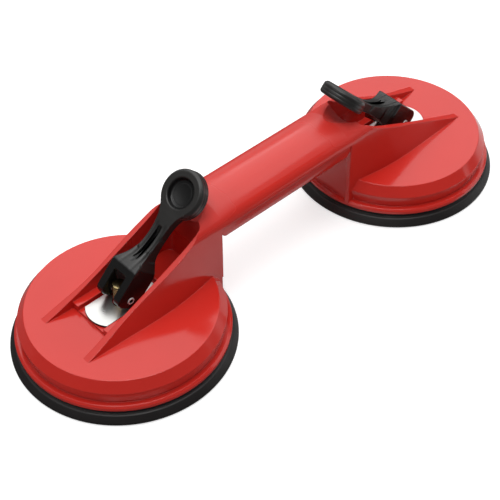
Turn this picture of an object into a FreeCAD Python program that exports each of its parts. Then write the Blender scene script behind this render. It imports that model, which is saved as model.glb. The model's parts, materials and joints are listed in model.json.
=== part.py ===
"""Twin-cup suction lifter for floor tiles: a moulded body with two cups and a grip,
and in each cup a rubber pad that a cam lever draws up through a threaded stem.

Frame: millimetres, +Z up, origin on the floor midway between the cups, +X along the grip.
Each end is drawn once, as the left one, and mirrored in the plane X = 0 for the right one.
"""
import FreeCAD, Part
import math
import os

V = FreeCAD.Vector
os.makedirs("parts", exist_ok=True)

# ---------------------------------------------------------------- driving dimensions
CUP_PITCH = 201.0            # between the two cup centres
CUP_X = -CUP_PITCH / 2       # centre of the left cup

# moulded cup
FLANGE_R, FLANGE_Z = 55.9, 7.8
BEAD_TOP_Z, BEAD_BEVEL = 10.5, 1.1
GROOVE_R = 52.2
WALL_TOP_R, WALL_TOP_Z = 53.5, 17.8
FACE_R, FACE_Z = 49.6, 23.4
SKIRT_IN_R = 49.8            # inside of the skirt
CEILING_Z = 20.4             # underside of the cup's roof

# side fins and the channel between them
FIN_TIP = -36.0              # outboard tips, from the cup centre; inboard is positive
END_WALL = 53.9              # the wall below the end of the grip
END_FOOT_HALF = 16.8
CHANNEL_HALF, CHANNEL_MOUTH_HALF = 14.5, 15.3
CHANNEL_END, CHANNEL_CORNER = 44.0, 5.0
MOUTH_START = -16.0          # outboard of it the channel widens

# grip
GRIP_HALF = 17.0
PARTING_Z = 52.0
GRIP_CROWN = 9.5
GRIP_TOP_Z = PARTING_Z + GRIP_CROWN
ARCH_SIDE_TURN = 60.0        # degrees that each side arc of the crown turns through
SHELL_WALL = 2.6
COVER_HALF = 16.5
COVER_BOTTOM_Z = 40.0
COVER_ROUND = 8.0
PARTING_GAP = 0.35

# loft of the fins: station, half-width at the foot, half-width and height at the shoulder
FIN_FOOT_Z = 17.4
FIN_STATIONS = [
    (FIN_TIP, 19.8, 19.0, 27.0),
    (-16.0, 21.6, 17.0, 32.5),
    (4.0, 22.0, 16.6, 41.0),
    (24.0, 21.0, 17.4, 50.0),
    (38.0, 18.9, GRIP_HALF, PARTING_Z),
    (47.0, 17.2, GRIP_HALF, PARTING_Z),
    (END_WALL, END_FOOT_HALF, GRIP_HALF, PARTING_Z)]
FIN_EDGE = [                 # rising top edge of the fins: station, height
    (FIN_TIP, FACE_Z), (-16.0, 30.9), (4.0, 39.3), (24.0, 48.4), (34.0, 53.4), (40.0, 57.4), (46.5, 63.0)]

# thumb scoop at each end of the grip
SCOOP_TIP = 57.0
SCOOP_SLOPE = 26.6           # degrees

# raised seat of the wear plate
SEAT_START, SEAT_END, SEAT_END_WALL = -19.3, 22.5, 1.6
RAIL_TOP_Z, RAIL_IN_HALF = 27.6, 10.1
SEAT_FLOOR_Z = 24.9

# wear plate
PLATE_HALF_LENGTH, PLATE_HALF_WIDTH, PLATE_BOW = 19.3, 8.9, 3.2
PLATE_THICK, PLATE_HOLE_FIT = 1.4, 0.5
PLATE_TOP_Z = SEAT_FLOOR_Z + PLATE_THICK

# draw stem and what it carries
STEM_R = 4.0
STEM_FIT = 0.075             # radial clearance of the stem in its guide
STEM_SINK = 1.0              # how far the stem stands above the disc's underside
STEM_FLAT, EYE_DROP = 3.3, 4.5
PIVOT_Z = 32.3
STEM_TOP_Z = 38.4
PIN_R = 2.0
PIN_FIT = 0.05
GUIDE_R, GUIDE_BOTTOM_Z = 8.0, 16.4
RIB_COUNT, RIB_THICK, RIB_BOTTOM_Z = 6, 2.2, 13.6
DISC_R, DISC_THICK = 26.0, 2.0
HUB_R, HUB_TOP_Z = 9.0, 8.0
NUT_FLATS, NUT_HEIGHT = 13.0, 4.0

# return spring and its seat washer
SPRING_R, WIRE_R, SPRING_TURNS = 10.3, 0.8, 4.0
WASHER_IN_R, WASHER_OUT_R, WASHER_THICK = 8.4, 12.4, 1.0

# rubber pad
LIP_R = 59.0
PAD_SEAT_OUT_R = 54.8
RIM_IN_R, RIM_OUT_R, RIM_TOP_Z = 46.5, 49.5, 10.6
PAD_TOP_Z = 4.6
PAD_HOLLOW_Z, PAD_HOLLOW_R = 1.2, 46.0

# cam lever, in its own frame: E runs up the arm from the pivot, N is square to it, outboard
LEVER_RISE = 45.0
BLOCK_HALF = 8.6
BLOCK_LOW_E, BLOCK_TOP_E, BLOCK_BACK_E = -5.0, 14.6, 17.8
BLOCK_FRONT_N, BLOCK_REAR_N = 8.6, -7.0
TOE_ROUND = 4.4
HEEL_GAP = 0.05              # between the block's heel flat and the wear plate, at rest
THUMB_E, THUMB_R = 58.4, 12.8
THUMB_FRONT_N, THUMB_REAR_N = -0.8, -7.9
RIM_BEVEL_FRONT, RIM_BEVEL_REAR = 1.3, 0.9
DISH_R, DISH_FLOOR_R, DISH_DEPTH = 8.3, 7.0, 2.2
SLOT_HALF, SLOT_TOP_E = 4.2, 10.2
ARM_FRONT = [                # (E, N) from the block's shoulder to the disc
    (BLOCK_TOP_E, BLOCK_FRONT_N), (17.6, 6.3), (21.5, 3.4), (27.5, 0.9), (36.0, -0.5),
    (THUMB_E - 10.0, THUMB_FRONT_N)]
ARM_REAR = [(THUMB_E - 8.0, -6.1), (40.0, -5.7), (30.0, -5.3), (22.0, -5.1)]
ARM_FLANK = [                # (E, half-width) from the block to the disc
    (BLOCK_TOP_E, BLOCK_HALF), (17.2, 7.3), (20.5, 5.9), (25.0, 4.8), (31.0, 4.4), (38.0, 4.6),
    (44.0, 5.5), (49.5, 8.2), (52.5, 10.8)]
ARM_GROOVE_HALF = 1.3
ARM_GROOVE_FLOOR = [(19.5, 5.6), (23.0, 0.4), (29.0, -2.2), (35.0, -2.6), (40.0, -0.2)]

# lever pin
PIN_HALF = 8.9
PIN_HOLLOW_R, PIN_HOLLOW_DEPTH = 1.1, 2.9

# cover screws
SCREW_X = (-30.0, 30.0)
SCREW_R, SCREW_HEAD_R, SCREW_HEAD_HIGH, SCREW_LENGTH = 1.7, 3.6, 2.2, 14.0
SCREW_FIT = 0.2              # radial clearance in the cover
SCREW_SEAT = 3.2             # depth of the counterbore


# ---------------------------------------------------------------- helpers
def outline(points):
    """Closed wire through a list of points."""
    return Part.makePolygon(points + [points[0]])


def turned(profile):
    """Solid of revolution about Z from a closed list of (radius, z) points."""
    face = Part.Face(outline([V(r, 0, z) for r, z in profile]))
    return face.revolve(V(0, 0, 0), V(0, 0, 1), 360)


def box(x0, x1, y0, y1, z0, z1):
    return Part.makeBox(x1 - x0, y1 - y0, z1 - z0, V(x0, y0, z0))


def rod(radius, z0, z1, x=0.0, y=0.0):
    return Part.makeCylinder(radius, z1 - z0, V(x, y, z0))


def ring(r_in, r_out, z0, z1):
    return rod(r_out, z0, z1).cut(rod(r_in, z0 - 1, z1 + 1))


def across_y(wire, half):
    """Prism across Y, from -half to half, of a closed wire in the plane Y = 0."""
    face = Part.Face(wire)
    face.translate(V(0, -half, 0))
    return face.extrude(V(0, 2 * half, 0))


def smooth(points):
    """Spline edge through points."""
    curve = Part.BSplineCurve()
    curve.interpolate(points)
    return curve.toShape()


def arch(x, half, spring_z, crown):
    """Three-centred arch in the plane X = x: two side arcs and a flatter, tangent top arc."""
    turn = math.radians(ARCH_SIDE_TURN)
    ease = (1 - math.sin(turn)) / math.cos(turn)
    side_r = (crown - half * ease) / (1 - ease)

    def on_side(angle, sign):
        return V(x, sign * (half - side_r * (1 - math.cos(angle))), spring_z + side_r * math.sin(angle))

    right = Part.Arc(V(x, half, spring_z), on_side(turn / 2, 1), on_side(turn, 1))
    top = Part.Arc(on_side(turn, 1), V(x, 0, spring_z + crown), on_side(turn, -1))
    left = Part.Arc(on_side(turn, -1), on_side(turn / 2, -1), V(x, -half, spring_z))
    return [right.toShape(), top.toShape(), left.toShape()]


def to_left_cup(shape):
    shape = shape.copy()
    shape.translate(V(CUP_X, 0, 0))
    return shape


def mirrored(shape):
    return shape.mirror(V(0, 0, 0), V(1, 0, 0))


def save(name, shape):
    shape = shape.removeSplitter() if len(shape.Solids) == 1 else shape
    shape.exportStep("parts/%s.step" % name)
    print("%-22s solids %d  volume %9.1f  valid %s"
          % (name, len(shape.Solids), shape.Volume, shape.isValid()))


def save_pair(name, shape):
    """Write one end's piece as left_NAME and its mirror image as right_NAME."""
    left = to_left_cup(shape)
    save("left_" + name, left)
    save("right_" + name, mirrored(left))


# ---------------------------------------------------------------- moulded body
def cup_form():
    """Outside of the cup: flange bead, groove, sloping wall, chamfer and flat top."""
    cup = turned([(0, FLANGE_Z), (FLANGE_R, FLANGE_Z), (FLANGE_R, BEAD_TOP_Z),
                  (GROOVE_R, BEAD_TOP_Z), (WALL_TOP_R, WALL_TOP_Z), (FACE_R, FACE_Z), (0, FACE_Z)])
    bead_edge = [e for e in cup.Edges
                 if len(e.Vertexes) == 1 and abs(e.BoundBox.XMax - FLANGE_R) < 0.01
                 and abs(e.BoundBox.ZMin - BEAD_TOP_Z) < 0.01]
    return cup.makeChamfer(BEAD_BEVEL, bead_edge)


def side_section(u, foot_half, foot_z, shoulder_half, shoulder_z):
    """Cross-section of the fins and grip at one station: straight sides under the arched crown."""
    right_foot, left_foot = V(u, foot_half, foot_z), V(u, -foot_half, foot_z)
    right_top, left_top = V(u, shoulder_half, shoulder_z), V(u, -shoulder_half, shoulder_z)
    return Part.Wire([Part.makeLine(right_foot, right_top)]
                     + arch(u, shoulder_half, shoulder_z, GRIP_CROWN)
                     + [Part.makeLine(left_top, left_foot), Part.makeLine(left_foot, right_foot)])


def fin_form():
    """Solid that the fins and the end of the grip are cut from, lofted along the grip."""
    sections = [side_section(u, foot, FIN_FOOT_Z, shoulder, z) for u, foot, shoulder, z in FIN_STATIONS]
    foot = box(CHANNEL_END, END_WALL, -END_FOOT_HALF, END_FOOT_HALF, FLANGE_Z, FIN_FOOT_Z + 2)
    return Part.makeLoft(sections, True, False).fuse(foot.common(rod(FLANGE_R, 0, PARTING_Z)))


def above_the_fins():
    """Everything above the fins' rising top edge."""
    edge = smooth([V(u, 0, z) for u, z in FIN_EDGE])
    top, outside = GRIP_TOP_Z + 30, FIN_TIP - 8
    first, last = edge.Vertexes[0].Point, edge.Vertexes[-1].Point
    corners = [last, V(last.x, 0, top), V(outside, 0, top), V(outside, 0, first.z), first]
    sides = [Part.makeLine(a, b) for a, b in zip(corners, corners[1:])]
    return across_y(Part.Wire([edge] + sides), 40)


def thumb_scoop():
    """Round-bottomed cut that slopes down from the grip's top into the channel."""
    tilt = math.radians(SCOOP_SLOPE)
    start = V(SCOOP_TIP - CHANNEL_HALF * math.sin(tilt), 0, GRIP_TOP_Z + CHANNEL_HALF * math.cos(tilt))
    down = V(-math.cos(tilt), 0, -math.sin(tilt))
    above, length = 30.0, 34.0
    return Part.makeCylinder(CHANNEL_HALF, above + length, start - down * above, down)


def channel():
    """Room between the fins, down to the cup's face, with a rounded inboard end."""
    side = [(FIN_TIP - 6, CHANNEL_MOUTH_HALF), (FIN_TIP, CHANNEL_MOUTH_HALF), (MOUTH_START, CHANNEL_HALF),
            (CHANNEL_END, CHANNEL_HALF)]
    plan = [V(u, -half, FACE_Z) for u, half in side] + [V(u, half, FACE_Z) for u, half in reversed(side)]
    height = 60.0
    room = Part.Face(outline(plan)).extrude(V(0, 0, height))
    inner = [e for e in room.Edges if abs(e.BoundBox.XMin - CHANNEL_END) < 0.01
             and e.BoundBox.ZLength > height / 2]
    return room.makeFillet(CHANNEL_CORNER, inner)


def wear_seat():
    """Raised seat with two rails and a floor for the wear plate, across the channel."""
    seat = box(SEAT_START, SEAT_END, -CHANNEL_HALF - 0.5, CHANNEL_HALF + 0.5, FACE_Z - 1, RAIL_TOP_Z)
    pocket = box(SEAT_START - 1, SEAT_END - SEAT_END_WALL, -RAIL_IN_HALF, RAIL_IN_HALF,
                 SEAT_FLOOR_Z, RAIL_TOP_Z + 1)
    return seat.cut(pocket)


def underside():
    """Hollow under the cup's roof, leaving the stem guide and the stiffening ribs."""
    hollow = rod(SKIRT_IN_R, FLANGE_Z - 1, CEILING_Z)
    hollow = hollow.cut(rod(GUIDE_R, GUIDE_BOTTOM_Z, CEILING_Z + 1))
    rib_start = WASHER_OUT_R + 1.2
    for k in range(RIB_COUNT):
        rib = box(rib_start, SKIRT_IN_R, -RIB_THICK / 2, RIB_THICK / 2, RIB_BOTTOM_Z, CEILING_Z + 1)
        rib.rotate(V(0, 0, 0), V(0, 0, 1), (k + 0.5) * 360 / RIB_COUNT)
        hollow = hollow.cut(rib)
    return hollow


def end_panel():
    """Shallow recess of the end wall, between the edges of the side walls."""
    depth, edge, top = 0.8, 2.6, 49.0
    half = END_FOOT_HALF - edge
    return box(END_WALL - depth, END_WALL + 1, -half, half, BEAD_TOP_Z, top)


def end_form():
    """Outside of one end: the cup with the fins and the end of the grip standing on it."""
    return cup_form().fuse(fin_form().cut(above_the_fins()))


def end_cuts():
    """What is taken out of one end, before the wear seat goes in."""
    return [channel(), thumb_scoop(), underside(), end_panel()]


def grip_form(half, crown, x0, x1):
    """Upper half of the grip: the arched crown over a flat parting face."""
    parting = Part.makeLine(V(x0, -half, PARTING_Z), V(x0, half, PARTING_Z))
    edges = arch(x0, half, PARTING_Z, crown) + [parting]
    return Part.Face(Part.Wire(edges)).extrude(V(x1 - x0, 0, 0))


def body_shell():
    """Both ends and the upper half of the grip in one moulding, hollow from below."""
    end_x = CUP_X + END_WALL
    left = to_left_cup(end_form())
    body = left.fuse([grip_form(GRIP_HALF, GRIP_CROWN, end_x, -end_x), mirrored(left)])
    for tool in end_cuts():
        tool = to_left_cup(tool)
        body = body.cut(tool).cut(mirrored(tool))

    inside_x = CUP_X + SCOOP_TIP + 3.0
    room = grip_form(GRIP_HALF - SHELL_WALL, GRIP_CROWN - SHELL_WALL, inside_x, -inside_x)
    boss_r, pilot_depth = 3.6, 6.5
    for x in SCREW_X:
        room = room.cut(rod(boss_r, PARTING_Z - 1, GRIP_TOP_Z, x))
    body = body.cut(room)
    for x in SCREW_X:
        body = body.cut(rod(SCREW_R, PARTING_Z - 1, PARTING_Z + pilot_depth, x))

    seat = to_left_cup(wear_seat())
    bore = to_left_cup(rod(STEM_R + STEM_FIT, GUIDE_BOTTOM_Z - 1, RAIL_TOP_Z))
    body = body.fuse([seat, mirrored(seat)])
    return body.cut(bore).cut(mirrored(bore))


# ---------------------------------------------------------------- grip cover and screws
def cover_section(half, bottom, top, radius):
    """Closed (y, z) wire in the plane X = 0: flat top, rounded lower corners."""
    c = radius * (1 - math.sqrt(0.5))
    a, b = V(0, half, top), V(0, half, bottom + radius)
    d, e = V(0, half - radius, bottom), V(0, -half + radius, bottom)
    f, g = V(0, -half, bottom + radius), V(0, -half, top)
    return Part.Wire([Part.makeLine(a, b), Part.Arc(b, V(0, half - c, bottom + c), d).toShape(),
                      Part.makeLine(d, e), Part.Arc(e, V(0, -half + c, bottom + c), f).toShape(),
                      Part.makeLine(f, g), Part.makeLine(g, a)])


def cover_prism(half, bottom, top, radius, x_half):
    face = Part.Face(cover_section(half, bottom, top, radius))
    face.translate(V(-x_half, 0, 0))
    return face.extrude(V(2 * x_half, 0, 0))


def grip_cover():
    """Lower half of the grip, hollow, with its underside swept up at both ends."""
    end_x = -(CUP_X + END_WALL) - 0.1
    top = PARTING_Z - PARTING_GAP
    sweep, rise = 16.0, 8.5
    bottom = COVER_BOTTOM_Z
    arc_in, arc_out = end_x - sweep, end_x
    mid = math.sqrt(0.5)

    def swept(x_in, x_out, z_low, z_high, sign):
        return Part.Arc(V(sign * x_in, 0, z_low),
                        V(sign * (x_in + (x_out - x_in) * mid), 0, z_high - (z_high - z_low) * mid),
                        V(sign * x_out, 0, z_high)).toShape()

    right = swept(arc_in, arc_out, bottom, bottom + rise, 1)
    left = swept(arc_in, arc_out, bottom, bottom + rise, -1)
    side = Part.Wire(Part.__sortEdges__([
        Part.makeLine(V(-arc_in, 0, bottom), V(arc_in, 0, bottom)), right,
        Part.makeLine(V(arc_out, 0, bottom + rise), V(arc_out, 0, top)),
        Part.makeLine(V(arc_out, 0, top), V(-arc_out, 0, top)),
        Part.makeLine(V(-arc_out, 0, top), V(-arc_out, 0, bottom + rise)), left]))
    cover = cover_prism(COVER_HALF, bottom, top, COVER_ROUND, end_x).common(across_y(side, 30))
    room = cover_prism(COVER_HALF - SHELL_WALL, bottom + SHELL_WALL, top + 1,
                       COVER_ROUND - SHELL_WALL, arc_in)
    boss = 4.4
    for x in SCREW_X:
        room = room.cut(rod(boss, bottom, top + 1, x))
    cover = cover.cut(room)
    for x in SCREW_X:
        cover = cover.cut(rod(SCREW_R + SCREW_FIT, bottom - 1, top + 1, x))
        cover = cover.cut(rod(SCREW_HEAD_R + SCREW_FIT, bottom - 1, bottom + SCREW_SEAT, x))
    return cover


def cover_screws():
    """Two pan-head screws with a cross recess, driven up from under the grip."""
    screws = []
    seat = COVER_BOTTOM_Z + SCREW_SEAT
    cross_half, cross_half_width, cross_depth = 2.0, 0.45, 1.0
    low = seat - SCREW_HEAD_HIGH
    for x in SCREW_X:
        head = rod(SCREW_HEAD_R, low, seat, x)
        for turn in (0, 90):
            slot = box(-cross_half, cross_half, -cross_half_width, cross_half_width,
                       low - 1, low + cross_depth)
            slot.rotate(V(0, 0, 0), V(0, 0, 1), turn)
            slot.translate(V(x, 0, 0))
            head = head.cut(slot)
        screws.append(head.fuse(rod(SCREW_R, seat, seat + SCREW_LENGTH, x)))
    return Part.makeCompound(screws)


# ---------------------------------------------------------------- pieces of one cup
def wear_plate():
    """Polished plate with bowed ends and a hole for the stem."""
    corner = PLATE_HALF_LENGTH - PLATE_BOW
    w, tip = PLATE_HALF_WIDTH, PLATE_HALF_LENGTH
    z = SEAT_FLOOR_Z
    wire = Part.Wire([
        Part.makeLine(V(-corner, -w, z), V(corner, -w, z)),
        Part.Arc(V(corner, -w, z), V(tip, 0, z), V(corner, w, z)).toShape(),
        Part.makeLine(V(corner, w, z), V(-corner, w, z)),
        Part.Arc(V(-corner, w, z), V(-tip, 0, z), V(-corner, -w, z)).toShape()])
    plate = Part.Face(wire).extrude(V(0, 0, PLATE_THICK))
    return plate.cut(rod(STEM_R + PLATE_HOLE_FIT, z - 1, PLATE_TOP_Z + 1))


def draw_stem():
    """Threaded stem with a flatted eye at the top for the lever pin."""
    stem = rod(STEM_R, PAD_TOP_Z + STEM_SINK, STEM_TOP_Z)
    outside = STEM_R + 1
    for side in (-1, 1):
        low, high = sorted((side * STEM_FLAT, side * outside))
        stem = stem.cut(box(-outside, outside, low, high, PIVOT_Z - EYE_DROP, STEM_TOP_Z + 1))
    bore = Part.makeCylinder(PIN_R + PIN_FIT, 2 * outside, V(0, -outside, PIVOT_Z), V(0, 1, 0))
    return stem.cut(bore)


def pad_disc():
    """Steel disc bonded on the pad, with a raised hub that takes the stem."""
    disc = rod(DISC_R, PAD_TOP_Z, PAD_TOP_Z + DISC_THICK).fuse(rod(HUB_R, PAD_TOP_Z, HUB_TOP_Z))
    return disc.cut(rod(STEM_R, PAD_TOP_Z + STEM_SINK, HUB_TOP_Z + 1))


def stem_nut():
    """Thin hexagon nut that locks the stem in the disc's hub."""
    corner = NUT_FLATS / math.sqrt(3)
    points = [V(corner * math.cos(math.radians(60 * k)), corner * math.sin(math.radians(60 * k)), HUB_TOP_Z)
              for k in range(6)]
    nut = Part.Face(outline(points)).extrude(V(0, 0, NUT_HEIGHT))
    bevel = Part.makeCone(corner + NUT_HEIGHT * 1.6, corner - 0.6, NUT_HEIGHT, V(0, 0, HUB_TOP_Z))
    return nut.common(bevel).cut(rod(STEM_R, HUB_TOP_Z - 1, HUB_TOP_Z + NUT_HEIGHT + 1))


def seat_washer():
    top = CEILING_Z
    return ring(WASHER_IN_R, WASHER_OUT_R, top - WASHER_THICK, top)


def return_spring():
    """Helical spring between the pad's disc and the seat washer, with closed ends cut flat.

    The wire is a chain of short straight runs, with a six-sided section square to the helix.
    """
    low, high = PAD_TOP_Z + DISC_THICK, CEILING_Z - WASHER_THICK
    per_turn, sides = 12, 6
    pitch = (high - low) / SPRING_TURNS
    lead = math.atan2(pitch, 2 * math.pi * SPRING_R)
    sections = []
    for k in range(int(per_turn * SPRING_TURNS) + 1):
        angle = 2 * math.pi * k / per_turn
        outward = V(math.cos(angle), math.sin(angle), 0)
        across = V(math.sin(angle) * math.sin(lead), -math.cos(angle) * math.sin(lead), math.cos(lead))
        centre = outward * SPRING_R + V(0, 0, low + pitch * k / per_turn)
        corners = [centre + outward * (WIRE_R * math.cos(2 * math.pi * i / sides))
                   + across * (WIRE_R * math.sin(2 * math.pi * i / sides)) for i in range(sides)]
        sections.append(outline(corners))
    return Part.makeLoft(sections, True, True).common(rod(SPRING_R + 3, low, high))


def rubber_pad():
    """Sealing pad: flexible lip, groove under the flange, locating rim and hollow face."""
    lip_top_r, lip_top_z = 56.4, 4.6
    return turned([
        (0, PAD_HOLLOW_Z), (PAD_HOLLOW_R - 2, PAD_HOLLOW_Z), (PAD_HOLLOW_R, 0), (LIP_R - 0.7, 0),
        (LIP_R, 0.8), (lip_top_r, lip_top_z), (PAD_SEAT_OUT_R - 0.6, 6.0), (PAD_SEAT_OUT_R, FLANGE_Z),
        (RIM_OUT_R, FLANGE_Z), (RIM_OUT_R, RIM_TOP_Z), (RIM_IN_R, RIM_TOP_Z),
        (RIM_IN_R, PAD_TOP_Z), (0, PAD_TOP_Z)])


# ---------------------------------------------------------------- cam lever
def in_side_view(points):
    return [V(e, 0, n) for e, n in points]


def lever_profile():
    """Side view of the lever, from the block's toe round the arm to the thumb disc.

    The heel is cut off by a flat that lies over the wear plate while the lever is at rest.
    """
    toe, cut = TOE_ROUND, 1 - math.sqrt(0.5)
    low, front, rear = BLOCK_LOW_E, BLOCK_FRONT_N, BLOCK_REAR_N
    heel_sum = -math.sqrt(2) * (PIVOT_Z - PLATE_TOP_Z - HEEL_GAP)      # E + N along the heel flat
    toe_start, toe_mid, toe_end = in_side_view([
        (low, front - toe), (low + toe * cut, front - toe * cut), (low + toe, front)])
    corners = in_side_view([
        ARM_REAR[-1], (BLOCK_BACK_E, rear), (heel_sum - rear, rear), (low, heel_sum - low),
        (low, front - toe)])
    disc_joint = in_side_view([ARM_FRONT[-1], (ARM_REAR[0][0], THUMB_FRONT_N), ARM_REAR[0]])
    straight = [(toe_end, V(ARM_FRONT[0][0], 0, front))]
    straight += zip(disc_joint, disc_joint[1:])
    straight += zip(corners, corners[1:])
    return Part.Wire(Part.__sortEdges__(
        [Part.makeLine(a, b) for a, b in straight]
        + [Part.Arc(toe_start, toe_mid, toe_end).toShape(),
           smooth(in_side_view(ARM_FRONT)), smooth(in_side_view(ARM_REAR))]))


def lever_plan():
    """Plan of the lever: full width at the block, waisted arm, flared into the thumb disc."""
    low, high = -20.0, 20.0
    start, end = BLOCK_LOW_E - 2, ARM_FLANK[-1][0]

    def flank(sign):
        return smooth([V(e, sign * half, low) for e, half in ARM_FLANK])

    end_half = ARM_FLANK[-1][1]
    block = [V(BLOCK_TOP_E, BLOCK_HALF, low), V(start, BLOCK_HALF, low), V(start, -BLOCK_HALF, low),
             V(BLOCK_TOP_E, -BLOCK_HALF, low)]
    edges = [Part.makeLine(a, b) for a, b in zip(block, block[1:])]
    edges.append(Part.makeLine(V(end, end_half, low), V(end, -end_half, low)))
    wire = Part.Wire(Part.__sortEdges__([flank(1), flank(-1)] + edges))
    return Part.Face(wire).extrude(V(0, 0, high - low))


def thumb_disc():
    """Round end with bevelled rims, and the dish that is sunk in its face."""
    front, rear = THUMB_FRONT_N, THUMB_REAR_N
    disc = turned([(0, front), (THUMB_R - RIM_BEVEL_FRONT, front), (THUMB_R, front - RIM_BEVEL_FRONT),
                   (THUMB_R, rear + RIM_BEVEL_REAR), (THUMB_R - RIM_BEVEL_REAR, rear), (0, rear)])
    floor = front - DISH_DEPTH
    dish = turned([(0, front + 1), (DISH_R, front + 1), (DISH_R, front), (DISH_FLOOR_R, floor), (0, floor)])
    for shape in (disc, dish):
        shape.translate(V(THUMB_E, 0, 0))
    return disc, dish


def arm_groove():
    """Tapered groove along the front of the arm, ending short of the block and the disc."""
    floor = in_side_view(ARM_GROOVE_FLOOR)
    above = BLOCK_FRONT_N + 3
    lid = [floor[-1], V(floor[-1].x, 0, above), V(floor[0].x, 0, above), floor[0]]
    sides = [Part.makeLine(a, b) for a, b in zip(lid, lid[1:])]
    return across_y(Part.Wire(Part.__sortEdges__([smooth(floor)] + sides)), ARM_GROOVE_HALF)


def set_lever(shape):
    """Turn a shape from the lever's own frame to its resting place on the left cup."""
    shape = shape.copy()
    shape.rotate(V(0, 0, 0), V(0, 1, 0), -LEVER_RISE)
    shape.translate(V(0, 0, PIVOT_Z))
    return shape


def cam_lever():
    lever = across_y(lever_profile(), BLOCK_HALF + 3).common(lever_plan())
    disc, dish = thumb_disc()
    lever = lever.fuse(disc).cut(dish).cut(arm_groove())
    slot = box(BLOCK_LOW_E - 2, SLOT_TOP_E, -SLOT_HALF, SLOT_HALF, BLOCK_REAR_N - 1, BLOCK_FRONT_N + 1)
    lever = lever.cut(slot)
    bore = Part.makeCylinder(PIN_R, 40, V(0, -20, 0), V(0, 1, 0))
    return set_lever(lever.cut(bore))


def lever_pin():
    """Hollow steel pin, a little proud of the lever on both sides."""
    pin = Part.makeCylinder(PIN_R, 2 * PIN_HALF, V(0, -PIN_HALF, 0), V(0, 1, 0))
    for side in (-1, 1):
        end = V(0, side * (PIN_HALF - PIN_HOLLOW_DEPTH), 0)
        pin = pin.cut(Part.makeCylinder(PIN_HOLLOW_R, PIN_HOLLOW_DEPTH + 1, end, V(0, side, 0)))
    return set_lever(pin)


# ---------------------------------------------------------------- write every piece
save("body_shell", body_shell())
save("grip_cover", grip_cover())
save("cover_screws", cover_screws())
for piece in (wear_plate, rubber_pad, pad_disc, draw_stem, stem_nut, seat_washer, return_spring,
              cam_lever, lever_pin):
    save_pair(piece.__name__, piece())
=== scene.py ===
"""Studio scene of the twin-cup floor tile suction lifter: rounded mouldings, rubber pads,
threaded stems, springs, their finishes, and the stage they are shown on.
"""
import json
import math

import bmesh
import bpy
import numpy as np
from mathutils import Matrix, Vector


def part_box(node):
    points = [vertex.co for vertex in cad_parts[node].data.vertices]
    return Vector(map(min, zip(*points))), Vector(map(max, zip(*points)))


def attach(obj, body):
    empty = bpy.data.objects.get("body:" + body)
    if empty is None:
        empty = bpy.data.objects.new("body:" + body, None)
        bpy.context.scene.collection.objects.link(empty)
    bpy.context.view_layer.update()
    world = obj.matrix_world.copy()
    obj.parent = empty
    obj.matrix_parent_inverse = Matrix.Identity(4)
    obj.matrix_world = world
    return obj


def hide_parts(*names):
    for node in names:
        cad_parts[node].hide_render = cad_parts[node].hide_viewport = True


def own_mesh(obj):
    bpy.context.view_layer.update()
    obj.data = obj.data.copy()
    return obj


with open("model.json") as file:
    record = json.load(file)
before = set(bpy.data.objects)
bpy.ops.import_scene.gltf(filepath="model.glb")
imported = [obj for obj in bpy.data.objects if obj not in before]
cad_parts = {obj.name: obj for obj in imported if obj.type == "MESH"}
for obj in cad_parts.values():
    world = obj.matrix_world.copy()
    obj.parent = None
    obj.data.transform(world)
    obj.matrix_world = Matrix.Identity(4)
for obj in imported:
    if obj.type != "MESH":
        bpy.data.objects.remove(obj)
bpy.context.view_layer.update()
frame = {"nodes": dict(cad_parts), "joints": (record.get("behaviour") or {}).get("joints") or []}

bl_info = {
    "name": "Tile Suction Lifter",
    "version": (1, 0, 0),
    "blender": (4, 5, 0),
    "location": "3D View > Sidebar > Lifter",
    "description": "Dresses the lifter's mouldings, pads, levers and metal pieces, and its stage",
    "category": "Object",
}

MM = 0.001
SIDES = ("left", "right")


# ---------------------------------------------------------------- places read from the frame
def joint_named(name):
    """A joint of the frame, by its name."""
    return next(joint for joint in frame["joints"] if joint["name"] == name)


def pivot(side):
    """Centre of a lever's pin."""
    return Vector(joint_named(side + "_lever_swing")["pos_m"])


def lift(side):
    """Travel of a draw stem, in metres."""
    low, high = joint_named(side + "_stem_lift")["range_m"]
    return high - low


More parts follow.
